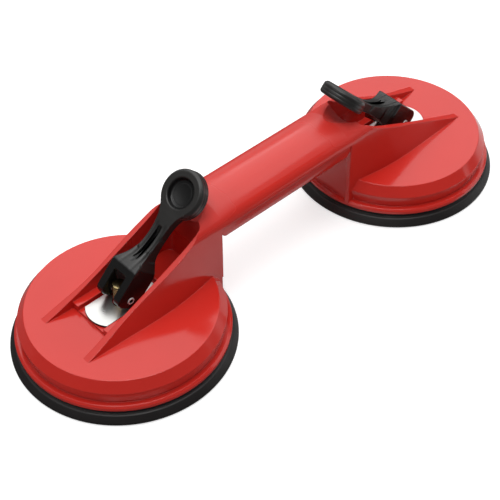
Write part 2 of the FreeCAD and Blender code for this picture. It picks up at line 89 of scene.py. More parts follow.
# ---------------------------------------------------------------- properties
class LifterLooks(bpy.types.PropertyGroup):
    """Sizes and colours of the lifter's dressed pieces."""
    body_colour: bpy.props.FloatVectorProperty(
        name="Body Colour", description="Colour of the glossy mouldings", subtype="COLOR",
        size=3, min=0, max=1, default=(0.62, 0.026, 0.018))
    lever_colour: bpy.props.FloatVectorProperty(
        name="Lever Colour", description="Colour of the satin levers", subtype="COLOR",
        size=3, min=0, max=1, default=(0.0165, 0.0155, 0.0145))
    rubber_colour: bpy.props.FloatVectorProperty(
        name="Rubber Colour", description="Colour of the sealing pads", subtype="COLOR",
        size=3, min=0, max=1, default=(0.0075, 0.0055, 0.0055))
    brass_colour: bpy.props.FloatVectorProperty(
        name="Brass Colour", description="Colour of the stems and nuts", subtype="COLOR",
        size=3, min=0, max=1, default=(0.50, 0.38, 0.17))
    body_round: bpy.props.FloatProperty(
        name="Body Edge Round", description="Radius that the body's edges are shaded with",
        subtype="DISTANCE", unit="LENGTH", min=0.0001, max=0.003, default=0.6 * MM)
    cover_round: bpy.props.FloatProperty(
        name="Cover Edge Round", description="Radius on the grip cover's edges",
        subtype="DISTANCE", unit="LENGTH", min=0.0001, max=0.003, default=0.6 * MM)
    lever_round: bpy.props.FloatProperty(
        name="Lever Edge Round", description="Radius on the levers' edges",
        subtype="DISTANCE", unit="LENGTH", min=0.0001, max=0.003, default=0.6 * MM)
    metal_round: bpy.props.FloatProperty(
        name="Metal Edge Round", description="Radius on plates, discs, washers, nuts and screws",
        subtype="DISTANCE", unit="LENGTH", min=0.00005, max=0.002, default=0.15 * MM)
    thread_pitch: bpy.props.FloatProperty(
        name="Thread Pitch", description="Pitch of the thread on the stems",
        subtype="DISTANCE", unit="LENGTH", min=0.0005, max=0.003, default=1.25 * MM)
    thread_depth: bpy.props.FloatProperty(
        name="Thread Depth", description="Depth of the thread on the stems",
        subtype="DISTANCE", unit="LENGTH", min=0.0001, max=0.001, default=0.45 * MM)
    pin_bore: bpy.props.FloatProperty(
        name="Pin Bore", description="Radius of the hollow in a lever pin's ends",
        subtype="DISTANCE", unit="LENGTH", min=0.0003, max=0.0018, default=1.1 * MM)
    stem_flat: bpy.props.FloatProperty(
        name="Stem Flat", description="Half-width between the flats of a stem's eye",
        subtype="DISTANCE", unit="LENGTH", min=0.001, max=0.004, default=3.3 * MM)
    eye_drop: bpy.props.FloatProperty(
        name="Eye Drop", description="How far below the pin the flats start",
        subtype="DISTANCE", unit="LENGTH", min=0.001, max=0.008, default=4.5 * MM)
    spring_turns: bpy.props.IntProperty(
        name="Spring Turns", description="Turns of each return spring", min=2, max=12, default=4)
    wire_radius: bpy.props.FloatProperty(
        name="Wire Radius", description="Radius of the return springs' wire",
        subtype="DISTANCE", unit="LENGTH", min=0.0003, max=0.002, default=0.8 * MM)


class LifterStage(bpy.types.PropertyGroup):
    """Camera and floor of the stage."""
    azimuth: bpy.props.FloatProperty(
        name="Azimuth", description="Direction of the camera about the vertical, from the front",
        subtype="ANGLE", unit="ROTATION", default=math.radians(-42.33))
    elevation: bpy.props.FloatProperty(
        name="Elevation", description="Height of the camera's line of sight", subtype="ANGLE",
        unit="ROTATION", default=math.radians(45.53))
    roll: bpy.props.FloatProperty(
        name="Roll", description="Turn of the camera about its line of sight", subtype="ANGLE",
        unit="ROTATION", default=math.radians(-0.51))
    distance: bpy.props.FloatProperty(
        name="Distance", description="From the camera to the point it looks at",
        subtype="DISTANCE", unit="LENGTH", default=0.6639)
    target: bpy.props.FloatVectorProperty(
        name="Target", description="Point that the camera looks at", subtype="TRANSLATION",
        unit="LENGTH", size=3, default=(-0.0250, -0.0138, 0.0200))
    lens: bpy.props.FloatProperty(
        name="Lens", description="Focal length in millimetres on a 36 mm sensor", min=20,
        max=300, default=90.2)
    floor_size: bpy.props.FloatProperty(
        name="Floor Size", description="Side of the square floor", subtype="DISTANCE",
        unit="LENGTH", default=12.0)


# ---------------------------------------------------------------- shader nodes
class Net:
    """Nodes of one shader tree, each made with its settings and its inputs at once."""

    def __init__(self, tree):
        self.tree = tree

    def wire(self, node, inputs):
        """Link or set a node's inputs: {label or number: field, socket or plain value}."""
        for label, value in inputs.items():
            source = value.socket if isinstance(value, Field) else value
            if isinstance(source, bpy.types.NodeSocket):
                self.tree.links.new(source, node.inputs[label])
            else:
                node.inputs[label].default_value = source
        return node

    def node(self, kind, inputs=None, **settings):
        """New shader node of a kind, with its settings made before its inputs."""
        node = self.tree.nodes.new("ShaderNode" + kind)
        for setting, value in settings.items():
            setattr(node, setting, value)
        return self.wire(node, inputs or {})

    def field(self, kind, output, inputs=None, **settings):
        """One output of a new shader node."""
        return Field(self, self.node(kind, inputs, **settings).outputs[output])

    def math(self, operation, *values):
        """Result of a Math node."""
        return self.field("Math", "Value", dict(enumerate(values)), operation=operation)

    def axes(self):
        """X, Y and Z of the object's own coordinates."""
        apart = self.node("SeparateXYZ", {"Vector": self.field("TexCoord", "Object")})
        return [Field(self, apart.outputs[axis]) for axis in "XYZ"]


class Field:
    """A value that varies over a surface. Arithmetic on it builds Math nodes in its net."""

    def __init__(self, net, socket):
        self.net, self.socket = net, socket

    def __add__(self, other):
        return self.net.math("ADD", self, other)

    def __sub__(self, other):
        return self.net.math("SUBTRACT", self, other)

    def __rsub__(self, other):
        return self.net.math("SUBTRACT", other, self)

    def __mul__(self, other):
        return self.net.math("MULTIPLY", self, other)

    def __truediv__(self, other):
        return self.net.math("DIVIDE", self, other)

    def __rtruediv__(self, other):
        return self.net.math("DIVIDE", other, self)

    def __pow__(self, power):
        return self.net.math("POWER", self, power)

    def __abs__(self):
        return self.net.math("ABSOLUTE", self)

    def at_least(self, other):
        return self.net.math("MAXIMUM", self, other)

    def at_most(self, other):
        return self.net.math("MINIMUM", self, other)

    def hypot(self, other):
        """Distance made up of two others at right angles, sqrt(a^2 + b^2)."""
        return self.net.math("SQRT", self ** 2.0 + other ** 2.0)

    def ease(self, start, end):
        """0 up to the start, 1 from the end on, and a smooth step between them."""
        return self.net.field("MapRange", "Result",
                              {"Value": self, "From Min": start, "From Max": end},
                              interpolation_type="SMOOTHSTEP")

    def above(self, edge, soft):
        """1 above an edge, easing to 0 over a distance below it."""
        return self.ease(edge - soft, edge)

    def below(self, edge, soft):
        """1 below an edge, easing to 0 over a distance above it."""
        return 1.0 - self.ease(edge, edge + soft)

    def within(self, low, high, soft):
        """1 between low and high, easing to 0 over a distance outside them."""
        return self.above(low, soft) * self.below(high, soft)

    def valley(self, width):
        """Bell 1 / (1 + (value / width)^4) about a value of zero."""
        return 1.0 / ((self / width) ** 4.0 + 1.0)


def grey(level):
    """Colour with the same level in red, green and blue."""
    return (level, level, level)


def opaque(colour, scale=1.0):
    """A colour, scaled and kept below white, with full alpha."""
    return (*[min(1.0, part * scale) for part in colour], 1.0)


def blend_colours(net, mask, low, high):
    """Colour that goes from low, where a mask is 0, to high, where it is 1."""
    return net.field("Mix", "Result", {"Factor": mask, "A": low, "B": high}, data_type="RGBA")


def new_group(name, inputs, outputs):
    """Net of a new node group, and the nodes of its own inputs and outputs.

    inputs gives each number's label and default, outputs gives each label and kind of socket.
    """
    group = bpy.data.node_groups.new(name, "ShaderNodeTree")
    for label, value in inputs.items():
        given = group.interface.new_socket(name=label, in_out="INPUT",
                                           socket_type="NodeSocketFloat")
        given.default_value = value
    for label, kind in outputs.items():
        group.interface.new_socket(name=label, in_out="OUTPUT", socket_type="NodeSocket" + kind)
    return Net(group), group.nodes.new("NodeGroupInput"), group.nodes.new("NodeGroupOutput")


def moulded_grain():
    """Fine waviness of a moulded skin, softened at edges, and its roughness in broad patches."""
    net, given, out = new_group(
        "Moulded Grain",
        {"Scale": 900.0, "Depth": 0.05, "Rough Low": 0.12, "Rough High": 0.20, "Edge": 0.5 * MM},
        {"Roughness": "Float", "Normal": "Vector"})
    where = net.field("TexCoord", "Object")
    fine = net.field("TexNoise", "Fac", {
        "Vector": where, "Scale": given.outputs["Scale"], "Detail": 3.0})
    broad = net.field("TexNoise", "Fac", {"Vector": where, "Scale": 60.0, "Detail": 4.0})
    soft = net.field("Bevel", "Normal", {"Radius": given.outputs["Edge"]}, samples=6)
    bump = net.field("Bump", "Normal", {
        "Height": fine, "Strength": given.outputs["Depth"], "Distance": 0.1 * MM, "Normal": soft})
    rough = net.field("MapRange", "Result", {
        "Value": broad, "From Min": 0.3, "From Max": 0.7,
        "To Min": given.outputs["Rough Low"], "To Max": given.outputs["Rough High"]})
    net.wire(out, {"Roughness": rough, "Normal": bump})
    return net.tree


def worn_and_highlit_edges():
    """Mask of convex edges, broken up by noise, where handling wear and a painted highlight lighten
    a surface.
    """
    net, given, out = new_group("Worn And Highlit Edges", {"From": 0.52, "To": 0.62}, {"Mask": "Float"})
    convex = net.field("MapRange", "Result", {
        "Value": net.field("NewGeometry", "Pointiness"),
        "From Min": given.outputs["From"], "From Max": given.outputs["To"]})
    patches = net.field("TexNoise", "Fac", {
        "Vector": net.field("TexCoord", "Object"), "Scale": 130.0})
    net.wire(out, {"Mask": convex * patches})
    return net.tree


def lever_lines(centre):
    """Fine relief moulded in a lever, with a mask of painted shade in its dish and deep groove that
    also darkens its block, and a mask of its smooth block.

    In millimetres of the lever's own frame, e runs up the arm from the pivot and n is square to
    it. Both come from the distance inboard, |x0| - |x|, and the height above the pivot, turned by
    45 degrees. The relief has a deep groove that tapers up the middle of the arm, a shallow one
    on each side of it that flares towards the block, lines round the disc's rim, and a ring and a
    bowl in its dish.
    """
    disc_at, rim_inner, rim_outer = 58.4, 12.3, 14.0
    rim_lines, rim_depth = ((-3.7, 0.35), (-5.6, 0.25)), 0.10
    dish_radius, dish_levels, bowl_levels, bowl_depth = 7.9, (-3.4, -1.6), (-3.6, -1.0), 1.1
    ring_radius, ring_width, ring_depth = 5.7, 0.22, 0.08
    face_low, face_high, block_foot, block_head = -4.5, 9.5, -20.0, 15.5
    deep_foot, deep_head, deep_half, deep_depth = 15.5, 40.5, 1.3, 0.25
    foot_slope, head_slope, thinnest, deep_run = 0.20, 0.13, 0.02, (18.0, 39.0)
    beside_width, beside_depth, beside_offset, beside_flare = 0.8, 0.30, 1.9, 34.0
    beside_run = 17.5, 38.0

    net, _, out = new_group("Lever Lines", {},
                            {"Height": "Float", "Dark": "Float", "Smooth": "Float"})
    x, y, z = net.axes()
    inboard, above = abs(centre.x) - abs(x), z - centre.z
    turned = math.sqrt(0.5) / MM
    e, n = (inboard + above) * turned, (above - inboard) * turned
    aside = abs(y) * (1 / MM)
    radial = (e - disc_at).hypot(aside)
    face = n.within(face_low, face_high, soft=0.2)

    first, second = [(n - at).valley(width) for at, width in rim_lines]
    rim = radial.within(rim_inner, rim_outer, soft=0.2) * (first + second)
    ring = (radial - ring_radius).valley(ring_width) * face
    bowl = (1.0 - (radial / dish_radius) ** 2.0).at_least(0.0)
    bowl = bowl * n.within(*bowl_levels, soft=0.8)
    dish = radial.below(dish_radius, soft=0.5) * n.within(*dish_levels, soft=0.6)

    taper = ((e - deep_foot) * foot_slope).at_most((deep_head - e) * head_slope)
    taper = taper.at_most(deep_half).at_least(thinnest)
    deep = aside.valley(taper) * e.within(*deep_run, soft=0.8) * face
    beside = (aside - (beside_flare / e + beside_offset)).valley(beside_width)
    beside = beside * e.within(*beside_run, soft=4.0) * face
    block = e.within(block_foot, block_head, soft=2.0)

    depth = (rim * rim_depth + ring * ring_depth + bowl * bowl_depth + beside * beside_depth
             + deep * deep_depth)
    # Dark is painted shade in the dish and the deep groove, with the block made darker as well.
    net.wire(out, {"Height": depth * -1.0, "Dark": dish.at_least(deep).at_least(block * 0.8),
                   "Smooth": block})
    return net.tree


# ---------------------------------------------------------------- finishes
def finish_of(name, colour, light, groups, rough, scale, depth, edge, metallic=0.0, soft=0.0):
    """Material with grain, two tones of its colour in broad clouds, and lighter edges for handling
    wear and painted highlight.

    rough is its lowest and highest roughness, scale and depth are the grain's, edge is how much
    of the light colour its edges take, and soft is the radius that they are shaded with.
    """
    grain, wear_and_highlight_group = groups
    material = bpy.data.materials.new(name)
    material.use_nodes = True
    net = Net(material.node_tree)
    skin = net.node("Group", {"Scale": scale, "Depth": depth, "Edge": soft,
                              "Rough Low": rough[0], "Rough High": rough[1]}, node_tree=grain)
    clouds = net.field("TexNoise", "Fac", {
        "Vector": net.field("TexCoord", "Object"), "Scale": 35.0})
    tones = blend_colours(net, clouds, opaque(colour, 0.94), opaque(colour, 1.05))
    # The edges take the light colour: handling wear together with a painted highlight.
    edge_wear_and_highlight = net.field("Group", "Mask", node_tree=wear_and_highlight_group) * edge
    net.wire(net.tree.nodes["Principled BSDF"], {
        "Base Color": blend_colours(net, edge_wear_and_highlight, tones, opaque(light)),
        "Metallic": metallic,
        "Roughness": skin.outputs["Roughness"],
        "Normal": skin.outputs["Normal"]})
    return material


def feeding(material, label):
    """Net and shader of a material, and the field that feeds one of the shader's inputs."""
    net, shader = Net(material.node_tree), material.node_tree.nodes["Principled BSDF"]
    return net, shader, Field(net, shader.inputs[label].links[0].from_socket)


def tint(material, mask, colour):
    """Mix a material's base colour towards another one by a mask."""
    net, shader, base = feeding(material, "Base Color")
    net.wire(shader, {"Base Color": blend_colours(net, mask, base, opaque(colour))})


def shade_plate_sides(material):
    """Paint shade on the upright sides of a plate, which take a darker colour than its face."""
    net = Net(material.node_tree)
    facing = net.node("SeparateXYZ", {"Vector": net.field("TexCoord", "Normal")})
    upright = net.field("MapRange", "Result", {
        "Value": facing.outputs["Z"], "From Min": 0.85, "From Max": 0.55})
    # Painted shade on the sides that turn away from the top.
    tint(material, upright, grey(0.03))


def shade_pin_bores(material, centre, bore):
    """Paint shade in the hollows in the pins' ends, which lie within a radius of the pins' axis."""
    x, _, z = Net(material.node_tree).axes()
    radial = (abs(x) - abs(centre.x)).hypot(z - centre.z)
    # Painted shade inside the drilled hollows.
    tint(material, radial.below(bore, soft=0.1 * MM), grey(0.02))


def soften_grip(material):
    """Make the ends of the grip's top less glossy than the cups, and the scoops duller still.

    Both places are boxes in the distance |x| along the lifter, the distance |y| across it and the
    height z, with soft margins.
    """
    net, shader, rough = feeding(material, "Roughness")
    x, y, z = net.axes()
    along, across = abs(x), abs(y)
    ends = along.within(50 * MM, 62 * MM, soft=32 * MM) * z.above(58 * MM, soft=6 * MM)
    scoops = (along.within(46 * MM, 80 * MM, soft=1 * MM) * across.below(14 * MM, soft=1 * MM)
              * z.within(40 * MM, 66.8 * MM, soft=0.8 * MM))
    more_at_ends, more_in_scoops = 0.26, 0.35
    net.wire(shader, {"Roughness": ends * more_at_ends + rough + scoops * more_in_scoops})


def mark_levers(material, centre):
    """Lay the lever's fine relief under its grain, paint shade in its dish and groove, and darken
    and smooth its block.
    """
    net, shader, skin = feeding(material, "Normal")
    lines = net.node("Group", node_tree=lever_lines(centre))
    relief = net.field("Bump", "Normal", {
        "Height": lines.outputs["Height"], "Normal": skin, "Distance": MM, "Strength": 1.0})
    # Painted shade: the dark mask takes the dish, the groove and the block nearly to black.
    tint(material, lines.outputs["Dark"], grey(0.003))
    rough = Field(net, skin.socket.node.outputs["Roughness"])
    smoother_block = 0.45
    share = Field(net, lines.outputs["Smooth"]) * -smoother_block + 1.0
    net.wire(shader, {"Normal": relief, "Roughness": rough * share})


def make_finishes(looks):
    """Make the lifter's materials, each named for the finish it stands for."""
    groups = moulded_grain(), worn_and_highlit_edges()
    # The second colour of each finish is its edge colour, for wear and painted highlight.
    red = finish_of("moulded_red", looks.body_colour, (0.70, 0.06, 0.05), groups,
                    rough=(0.11, 0.16), scale=700, depth=0.02, soft=looks.body_round, edge=0.30)
    black = finish_of("satin_black", looks.lever_colour, (0.16, 0.16, 0.155), groups,
                      rough=(0.34, 0.44), scale=1800, depth=0.20, soft=looks.lever_round, edge=0.6)
    finish_of("soft_rubber", looks.rubber_colour, (0.035, 0.032, 0.030), groups,
              rough=(0.42, 0.56), scale=1400, depth=0.25, edge=0.6)
    plate = finish_of("worn_plate", (0.66, 0.66, 0.64), (0.80, 0.80, 0.78), groups,
                      rough=(0.26, 0.36), scale=1200, depth=0.03, metallic=1.0, edge=0.2)
    finish_of("bright_zinc", grey(0.78), grey(0.90), groups,
              rough=(0.18, 0.28), scale=1600, depth=0.08, metallic=1.0, edge=0.4)
    pin = finish_of("rolled_pin", grey(0.90), grey(0.95), groups,
                    rough=(0.30, 0.40), scale=1600, depth=0.05, metallic=0.15, edge=0.4)
    finish_of("turned_brass", looks.brass_colour, (0.95, 0.85, 0.55), groups,
              rough=(0.12, 0.20), scale=1600, depth=0.08, metallic=1.0, edge=0.8)
    finish_of("drawn_wire", (0.45, 0.45, 0.46), grey(0.7), groups,
              rough=(0.26, 0.38), scale=2000, depth=0.08, metallic=1.0, edge=0.3)
    mark_levers(black, pivot("left"))
    shade_plate_sides(plate)
    shade_pin_bores(pin, pivot("left"), looks.pin_bore)
    soften_grip(red)


def finish(name):
    """One of the lifter's materials. The first call makes them all."""
    if name not in bpy.data.materials:
        make_finishes(bpy.context.scene.lifter_looks)
    return bpy.data.materials[name]


# ---------------------------------------------------------------- meshes
def add_mesh(name, points, faces, material):
    """Smooth-shaded mesh object from an (n, 3) array of points and a list of faces."""
    mesh = bpy.data.meshes.new(name)
    mesh.from_pydata(np.asarray(points, float), [], faces)
    mesh.materials.append(material)
    return add_piece(name, mesh)


def add_piece(name, mesh):
    """Object of a mesh in the scene, shaded smooth."""
    piece = bpy.data.objects.new(name, mesh)
    bpy.context.scene.collection.objects.link(piece)
    mesh.polygons.foreach_set("use_smooth", np.ones(len(mesh.polygons), bool))
    mesh.update()
    return piece


def grid_faces(rows, columns, close_rows=False):
    """Quads of a grid of points numbered row by row and closed round its columns.

    The last row joins the first one too if close_rows is set.
    """
    i, j = np.meshgrid(np.arange(rows if close_rows else rows - 1), np.arange(columns),
                       indexing="ij")
    here, above = i * columns, (i + 1) % rows * columns
    beside = (j + 1) % columns
    corners = here + j, here + beside, above + beside, above + j
    return np.stack(corners, -1).reshape(-1, 4).tolist()


def tube_faces(rows, columns):
    """Faces of a grid closed round its columns, with a flat cap on its first and last rows."""
    last = (rows - 1) * columns
    caps = [list(reversed(range(columns))), list(range(last, last + columns))]
    return grid_faces(rows, columns) + caps


def lathe(profile, count):
    """Surface of revolution: each (radius, height) of a closed profile is carried round Z.

    A point is (r cos t, r sin t, z). The profile runs with the solid on its left.
    """
    radius, height = np.asarray(profile, float).T
    turn = np.linspace(0, 2 * math.pi, count, endpoint=False)
    x, y = radius[:, None] * np.cos(turn), radius[:, None] * np.sin(turn)
    z = np.broadcast_to(height[:, None], x.shape)
    return np.stack([x, y, z], -1).reshape(-1, 3), grid_faces(len(radius), count, close_rows=True)


def round_corners(corners, radii, steps=5):
    """Closed (r, z) profile with each corner replaced by a tangent arc of its own radius.

    On an arc, a point is the quadratic blend (1-t)^2 a + 2t(1-t) p + t^2 b of the two tangent
    points a and b and the corner p.
    """
    corners, radii = np.asarray(corners, float), np.asarray(radii, float)
    before, after = np.roll(corners, 1, 0) - corners, np.roll(corners, -1, 0) - corners
    long_before, long_after = np.linalg.norm(before, axis=1), np.linalg.norm(after, axis=1)
    reach = np.minimum(radii, 0.45 * np.minimum(long_before, long_after))[:, None]
    a = corners + before / long_before[:, None] * reach
    b = corners + after / long_after[:, None] * reach
    t = np.linspace(0, 1, steps)[None, :, None]
    arcs = (1 - t) ** 2 * a[:, None] + 2 * t * (1 - t) * corners[:, None] + t ** 2 * b[:, None]
    return arcs.reshape(-1, 2)


def close_poles(piece):
    """Merge the points that a surface leaves on its axis, and drop faces that have no area."""
    mesh, work = piece.data, bmesh.new()
    work.from_mesh(mesh)
    bmesh.ops.remove_doubles(work, verts=work.verts, dist=1e-7)
    bmesh.ops.dissolve_degenerate(work, edges=work.edges, dist=1e-8)
    bmesh.ops.recalc_face_normals(work, faces=work.faces)
    work.to_mesh(mesh)
    work.free()
    mesh.polygons.foreach_set("use_smooth", np.ones(len(mesh.polygons), bool))
    mesh.set_sharp_from_angle(angle=math.radians(50))


# ---------------------------------------------------------------- rounded copies of CAD nodes
def merged_copy(node, name, material):
    """Copy of a CAD node's mesh with its loose faces joined and flat stretches dissolved.

    The corner normals that each face had of its own are kept as an attribute, true_normal.
    """
    mesh = frame["nodes"][node].data.copy()
    mesh.name = name
    normals = np.empty(len(mesh.loops) * 3, np.float32)
    mesh.corner_normals.foreach_get("vector", normals)
    kept = mesh.attributes.new("true_normal", "FLOAT_VECTOR", "CORNER")
    kept.data.foreach_set("vector", normals)
    work = bmesh.new()
    work.from_mesh(mesh)
    bmesh.ops.remove_doubles(work, verts=work.verts, dist=2e-6)
    bmesh.ops.dissolve_limit(work, angle_limit=math.radians(0.4), verts=work.verts,
                             edges=work.edges)
    work.to_mesh(mesh)
    work.free()
    mesh.materials.clear()
    mesh.materials.append(material)
    mesh.attributes.remove(mesh.attributes["custom_normal"])
    return add_piece(name, mesh)


def read(collection, attribute, kind, width=1):
    """Array of one property of every item of a mesh's collection."""
    values = np.empty(len(collection) * width, kind)
    collection.foreach_get(attribute, values)
    return values.reshape(-1, width) if width > 1 else values


def crease_angles(mesh):
    """Angle in degrees that the surface turns through at each edge.

    At both ends of an edge the true normals of its two faces are compared; the larger angle
    counts. An edge inside one curved surface scores nothing, however coarse its facets are.
    """
    corner_vertex = read(mesh.loops, "vertex_index", np.int32)
    corner_edge = read(mesh.loops, "edge_index", np.int32)
    start = read(mesh.polygons, "loop_start", np.int32)
    total = read(mesh.polygons, "loop_total", np.int32)
    following = np.arange(len(mesh.loops)) + 1
    following[start + total - 1] = start
    normals = read(mesh.attributes["true_normal"].data, "vector", np.float32, 3)
    first = read(mesh.edges, "vertices", np.int32, 2)[corner_edge, 0]
    forward = (corner_vertex == first)[:, None]
    ends = np.stack([np.where(forward, normals, normals[following]),
                     np.where(forward, normals[following], normals)], 1)
    order = np.argsort(corner_edge, kind="stable")
    edges, begins, counts = np.unique(corner_edge[order], return_index=True, return_counts=True)
    paired, begins = edges[counts == 2], begins[counts == 2]
    cosine = (ends[order[begins]] * ends[order[begins + 1]]).sum(-1).min(-1)
    angles = np.zeros(len(mesh.edges))
    angles[paired] = np.degrees(np.arccos(np.clip(cosine, -1, 1)))
    return angles


def room_beside(mesh, crease):
    """Distance from each edge that its neighbours leave free for a bevel.

    It is the smaller of the height of each face over that edge, 2 area / length in a triangle
    and area / length in a larger face, and the shortest edge that ends at one of its points
    without being a crease itself.
    """
    points = read(mesh.vertices, "co", np.float32, 3)
    ends = read(mesh.edges, "vertices", np.int32, 2)
    length = np.linalg.norm(points[ends[:, 0]] - points[ends[:, 1]], axis=1)
    shortest = np.full(len(points), np.inf)
    creases_at = np.bincount(ends[crease].ravel(), minlength=len(points))
    for end in ends.T:
        counted = ~crease | (creases_at[end] > 2)
        np.minimum.at(shortest, end[counted], length[counted])
    area = read(mesh.polygons, "area", np.float32)
    total = read(mesh.polygons, "loop_total", np.int32)
    edge = read(mesh.loops, "edge_index", np.int32)
    height = np.full(len(length), np.inf)
    over = np.repeat(area * np.where(total == 3, 2.0, 1.0), total) / length[edge]
    np.minimum.at(height, edge, over)
    return np.minimum(height, shortest[ends].min(1))


def round_edges(piece, radius, steps, sharper_than):
    """Bevel every edge of a piece at which its surface turns by more than an angle in degrees.

    Where the neighbouring faces are narrow, an edge's weight keeps its bevel inside them. Without
    steps, the edges are only marked as sharp, and the finish softens their shading.
    """
    mesh = piece.data
    crease = crease_angles(mesh) > sharper_than
    mesh.edges.foreach_set("use_edge_sharp", crease)
    mesh.attributes.remove(mesh.attributes["true_normal"])
    if not steps:
        return
    share_of_room = 0.42
    weight = np.clip(share_of_room * room_beside(mesh, crease) / radius, 0, 1) * crease
    weights = mesh.attributes.new("bevel_weight_edge", "FLOAT", "EDGE")
    weights.data.foreach_set("value", weight.astype(np.float32))
    bevel = piece.modifiers.new("rounding", "BEVEL")
    bevel.width = radius
    bevel.segments = steps
    bevel.limit_method = "WEIGHT"
    bevel.use_clamp_overlap = False
    bevel.harden_normals = True
    bevel.miter_outer = "MITER_ARC"


def stand_for(piece, body, node):
    """Let a piece ride on a body and be seen in place of a CAD node."""
    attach(piece, body)
    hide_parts(node)


def dress(node, name, body, material, radius, steps=3):
    """Rounded copy of a CAD node that stands for the node."""
    piece = merged_copy(node, name, material)
    round_edges(piece, radius, steps, sharper_than=14.0)
    stand_for(piece, body, node)


# ---------------------------------------------------------------- surfaces of new pieces
def hollow_pin(radius, half, bore):
    """Pin along Y with a rolled rim and a drilled hollow at both ends.

    It is a lathe about its own axis, with the profile's height laid along Y.
    """
    rim, bore_rim, bottom = 0.45 * MM, 0.3 * MM, half - 2.9 * MM
    corners = [(0, -bottom), (bore, -bottom), (bore, -half), (radius, -half),
               (radius, half), (bore, half), (bore, bottom), (0, bottom)]
    radii = [0, 0, bore_rim, rim, rim, bore_rim, 0, 0]
    points, faces = lathe(round_corners(corners, radii), 40)
    return np.stack([points[:, 0], points[:, 2], -points[:, 1]], -1), faces


def sealing_pad(lip, top):
    """Round pad: a lathe of its rounded section, out along the sealing face and back over it.

    Each point of the section is a radius, as an inset from the lip's edge, and a height above the
    sealing face.
    """
    recess, groove, web, shoulder = 1.2 * MM, 0.6 * MM, 4.6 * MM, top - 2.8 * MM
    collar_out, collar_in = lip - 9.5 * MM, lip - 12.5 * MM
    middle = [(0, recess), (lip - 15 * MM, recess)]
    inner_ring = [(lip - 13 * MM, 0), (lip - 8.5 * MM, 0)]
    between_rings = [(lip - 8.0 * MM, groove), (lip - 6.4 * MM, groove)]
    outer_ring = [(lip - 5.9 * MM, 0), (lip - 0.8 * MM, 0)]
    edge = [(lip, 0.5 * MM), (lip, 1.5 * MM)]
    back = [(lip - 2.6 * MM, 4.7 * MM), (lip - 4.0 * MM, 5.0 * MM), (lip - 4.9 * MM, 6.1 * MM)]
    seat = [(lip - 4.2 * MM, shoulder), (collar_out, shoulder)]
    collar = [(collar_out, top), (collar_in, top)]
    inside = [(collar_in, web), (0, web)]
    face = middle + inner_ring + between_rings + outer_ring
    corners = face + edge + back + seat + collar + inside
    radii = [0] + [0.5 * MM] * (len(corners) - 2) + [0]
    return lathe(round_corners(corners, radii), 160)


def threaded_rod(radius, z_low, z_high, pitch, depth, flat_half, flat_low):
    """Rod about Z with a thread cut all along it, flatted on both sides above a height.

    At height z and angle t the radius is R - D*|2*f - 1|^1.5, where f is the fraction of a pitch
    in z/P - t/2pi, and both ends narrow over one pitch. Above flat_low, y is held within the
    half-width between the flats.
    """
    columns, rows_in_pitch, narrowing = 48, 8, 1.3
    rise = np.arange(z_low, z_high, pitch / rows_in_pitch)
    rise = np.concatenate([rise[rise < flat_low], [flat_low, flat_low], rise[rise > flat_low],
                           [z_high]])
    flatted = np.arange(len(rise)) > np.searchsorted(rise, flat_low)
    turn = np.linspace(0, 2 * math.pi, columns, endpoint=False)
    fraction = np.mod(rise[:, None] / pitch - turn / (2 * math.pi), 1.0)
    from_end = np.clip(np.minimum(rise - z_low, z_high - rise) / pitch, 0, 1)[:, None]
    r = radius - depth * np.abs(2 * fraction - 1) ** 1.5
    r = np.minimum(r, radius - depth * narrowing * (1 - from_end))
    x, y = r * np.cos(turn), r * np.sin(turn)
    y = np.where(flatted[:, None], np.clip(y, -flat_half, flat_half), y)
    z = np.broadcast_to(rise[:, None], x.shape)
    return np.stack([x, y, z], -1).reshape(-1, 3), tube_faces(len(rise), columns)


def coil(radius, z_low, z_high, wire, turns):
    """Round wire along a helix about Z whose end turns lie flat.

    The wire's middle is (R cos t, R sin t, z(t)), where z is level over the first and last half
    turn and climbs evenly between them, and its section is an upright circle across the path.
    """
    rows, round_wire = 48 * turns, 12
    t = np.linspace(0, 1, rows)
    angle, flat = 2 * math.pi * turns * t, 0.5 / turns
    climb = np.clip((t - flat) / (1 - 2 * flat), 0, 1)
    z = z_low + wire + (z_high - z_low - 2 * wire) * climb
    section = np.linspace(0, -2 * math.pi, round_wire, endpoint=False)
    r = radius + wire * np.cos(section)
    x, y = r * np.cos(angle)[:, None], r * np.sin(angle)[:, None]
    points = np.stack([x, y, z[:, None] + wire * np.sin(section)], -1).reshape(-1, 3)
    return points, tube_faces(rows, round_wire)


# ---------------------------------------------------------------- operators of the pieces
class LIFTER_OT_body(bpy.types.Operator):
    """Dress the body moulding and the grip cover in glossy red with softened edges"""
    bl_idname = "lifter.body"
    bl_label = "Body and Grip Cover"

    def execute(self, context):
        looks, red = context.scene.lifter_looks, finish("moulded_red")
        dress("body_shell", "moulded_body", "body", red, looks.body_round, steps=0)
        dress("grip_cover", "moulded_cover", "body", red, looks.cover_round)
        return {"FINISHED"}


class LIFTER_OT_levers(bpy.types.Operator):
    """Dress the cam levers and model their hollow pins"""
    bl_idname = "lifter.levers"
    bl_label = "Cam Levers"

    def execute(self, context):
        looks = context.scene.lifter_looks
        for side in SIDES:
            body = side + "_lever"
            dress(side + "_cam_lever", side + "_lever_moulding", body,
                  finish("satin_black"), looks.lever_round)
            low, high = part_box(side + "_lever_pin")
            points, faces = hollow_pin((high.z - low.z) / 2, (high.y - low.y) / 2, looks.pin_bore)
            pin = add_mesh(side + "_pin", points + np.array(pivot(side)), faces,
                           finish("rolled_pin"))
            close_poles(pin)
            stand_for(pin, body, side + "_lever_pin")
        return {"FINISHED"}


